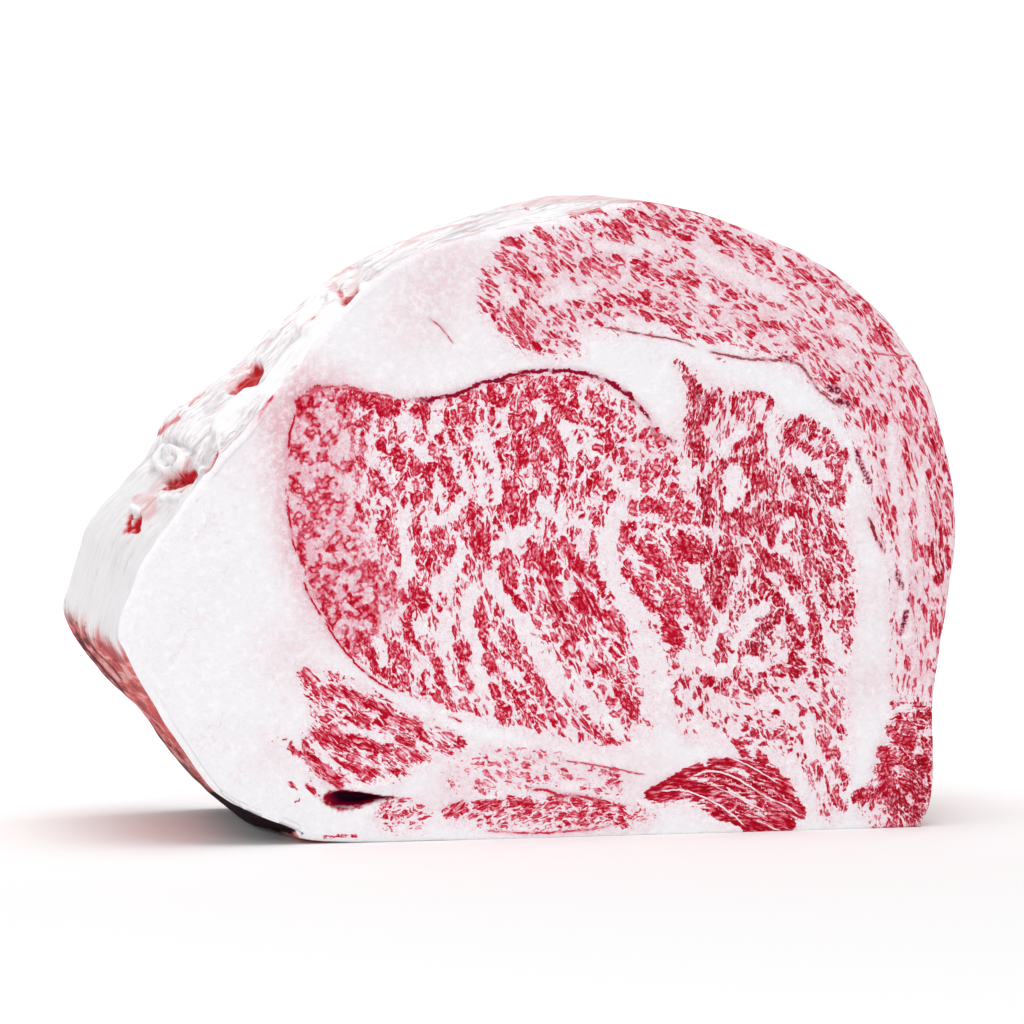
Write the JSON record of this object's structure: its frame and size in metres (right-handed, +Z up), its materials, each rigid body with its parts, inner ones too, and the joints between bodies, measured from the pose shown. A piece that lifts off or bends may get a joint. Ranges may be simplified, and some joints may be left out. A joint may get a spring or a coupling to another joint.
{
  "type": "raw ribeye steak",
  "caption": "Thick raw ribeye steak standing on its flat base: white fat round heavily marbled red muscles, cut face to the front.",
  "frame": {"origin": "centre of the bounding box in X and Y, at the height of the flat base the steak stands on", "axes": "+X along the steak's longest extent, to the right of the front cut face; +Y from the front cut face to the back one, through the thickness; +Z up"},
  "size_m": [0.2281, 0.0908, 0.1686],
  "materials": {
    "fat": "raw beef fat, soft white with a faint pink, slightly waxy",
    "eye_muscle": "marbled lean, the large round eye",
    "inner_muscle": "marbled lean beside the eye",
    "cap_muscle": "heavily marbled lean of the outer cap",
    "corner_muscle": "deep red lean at the lower corner",
    "base_muscle": "deep red lean near the base, finely streaked",
    "rib_muscle": "streaked lean at the lower left",
    "strip_muscle": "thin strip of lean along the base",
    "flecked_muscle": "pale lean, mostly fat with red flecks",
    "small_muscle": "small patch of lean near the base"
  },
  "bodies": {
    "root": {"fat": "fat", "eye_muscle": "eye_muscle", "inner_muscle": "inner_muscle", "cap_muscle": "cap_muscle", "corner_muscle": "corner_muscle", "base_muscle": "base_muscle", "rib_muscle": "rib_muscle", "strip_muscle": "strip_muscle", "flecked_muscle": "flecked_muscle", "small_muscle": "small_muscle"}
  },
  "joints": []
}
